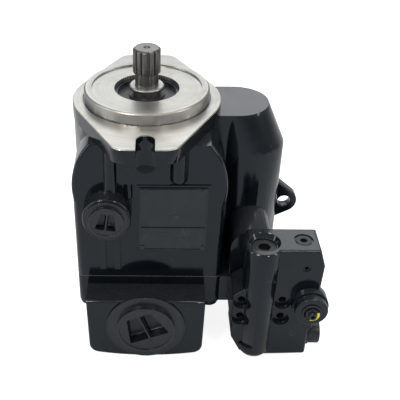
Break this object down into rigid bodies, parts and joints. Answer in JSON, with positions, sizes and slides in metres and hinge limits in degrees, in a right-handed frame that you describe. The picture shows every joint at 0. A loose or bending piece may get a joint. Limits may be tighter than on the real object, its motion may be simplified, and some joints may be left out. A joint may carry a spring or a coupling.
{
  "type": "axial piston pump",
  "caption": "Variable axial piston pump with a two-bolt flange, splined shaft, tilting swashplate, servo piston, end cap and side-mounted control block.",
  "frame": {"origin": "centre of the mounting flange face on the drive shaft axis", "axes": "+Z out along the drive shaft, -Y towards the inlet port, +X towards the servo barrel and the control block; it stands on its end cap"},
  "size_m": [0.2115, 0.195, 0.254],
  "materials": {
    "painted_casting": "gloss black paint over cast iron, machined bare on the flange face",
    "fibre_gasket": "matt fibre sheet",
    "black_oxide_steel": "black oxide",
    "ground_steel": "ground and polished",
    "seal_rubber": "matt",
    "spring_steel": "phosphated wire",
    "bearing_steel": "ground",
    "bronze": "satin",
    "seal_plastic": "filled PTFE",
    "shipping_plastic": "moulded, slightly glossy",
    "plate_metal": "black anodised"
  },
  "bodies": {
    "casing": {"bias_spring": "spring_steel", "control_block": "painted_casting", "control_gasket": "fibre_gasket", "control_screws": "black_oxide_steel", "cradle_bearings": "bronze", "drain_plug": "shipping_plastic", "end_cap": "painted_casting", "end_cap_bolts": "black_oxide_steel", "end_cap_gasket": "fibre_gasket", "front_bearing_cup": "bearing_steel", "gauge_plug": "black_oxide_steel", "housing": "painted_casting", "inlet_plug": "shipping_plastic", "large_port_plug": "black_oxide_steel", "limiter_lock_nut": "black_oxide_steel", "limiter_sleeve": "black_oxide_steel", "limiter_spring": "spring_steel", "load_sensing_spring": "spring_steel", "outlet_plug": "shipping_plastic", "plate_rivets": "plate_metal", "rating_plate": "plate_metal", "rear_bearing_cup": "bearing_steel", "rear_drain_plug": "black_oxide_steel", "seal_retaining_ring": "spring_steel", "shaft_seal": "seal_rubber", "side_plug": "black_oxide_steel", "small_port_plug": "black_oxide_steel", "valve_plate": "bronze", "valve_plate_pin": "bearing_steel"},
    "rotating_group": {"drive_shaft": "ground_steel", "shaft_slinger": "ground_steel", "front_bearing_cone": "bearing_steel", "front_bearing_rollers": "bearing_steel", "rear_bearing_cone": "bearing_steel", "rear_bearing_rollers": "bearing_steel", "cylinder_block": "ground_steel", "hold_down_spring": "spring_steel"},
    "piston_set": {"pistons": "ground_steel", "slippers": "bronze", "retainer_plate": "ground_steel", "ball_guide": "ground_steel"},
    "swash": {"swashplate": "ground_steel"},
    "servo": {"servo_piston": "ground_steel", "servo_piston_ring": "seal_plastic"},
    "bias": {"bias_piston": "ground_steel"},
    "spool": {"load_sensing_spool": "ground_steel"},
    "load_sensing_adjuster": {"load_sensing_adjuster": "black_oxide_steel"},
    "poppet": {"limiter_poppet": "ground_steel"},
    "limiter_screw": {"limiter_screw": "black_oxide_steel"}
  },
  "joints": [
    {"name": "shaft_spin", "type": "hinge", "parent": "casing", "child": "rotating_group", "pos_m": [0, 0, 0], "axis": [0, 0, 1], "continuous": true},
    {"name": "swash_tilt", "type": "hinge", "parent": "casing", "child": "swash", "pos_m": [0, 0, -0.06], "axis": [0, 1, 0], "range_deg": [0, 17]},
    {"name": "piston_draw", "type": "slide", "parent": "rotating_group", "child": "piston_set", "axis": [0, 0, -1], "range_m": [0, 0.0146], "deforming": ["hold_down_spring"]},
    {"name": "servo_slide", "type": "slide", "parent": "casing", "child": "servo", "axis": [0, 0, -1], "range_m": [0, 0.024]},
    {"name": "bias_slide", "type": "slide", "parent": "casing", "child": "bias", "axis": [0, 0, -1], "range_m": [0, 0.024], "deforming": ["bias_spring"]},
    {"name": "load_sensing_spool_slide", "type": "slide", "parent": "casing", "child": "spool", "axis": [0, 0, -1], "range_m": [0, 0.002], "stiffness_N_per_m": 4000, "springref_m": -0.001, "deforming": ["load_sensing_spring"]},
    {"name": "load_sensing_adjuster_turn", "type": "hinge", "parent": "casing", "child": "load_sensing_adjuster", "pos_m": [0.0945, -0.074, -0.195], "axis": [0, 0, 1], "range_deg": [-180, 180]},
    {"name": "limiter_poppet_slide", "type": "slide", "parent": "casing", "child": "poppet", "axis": [0, -1, 0], "range_m": [0, 0.0015], "stiffness_N_per_m": 4000, "springref_m": -0.001, "deforming": ["limiter_spring"]},
    {"name": "limiter_screw_turn", "type": "hinge", "parent": "casing", "child": "limiter_screw", "pos_m": [0.1355, -0.098, -0.143], "axis": [0, -1, 0], "range_deg": [-180, 180]}
  ],
  "couplings": [
    {"joint": "piston_draw", "follows": "swash_tilt", "m_per_rad": 0.048533},
    {"joint": "servo_slide", "follows": "swash_tilt", "m_per_rad": 0.077846},
    {"joint": "bias_slide", "follows": "swash_tilt", "m_per_rad": 0.077846}
  ]
}
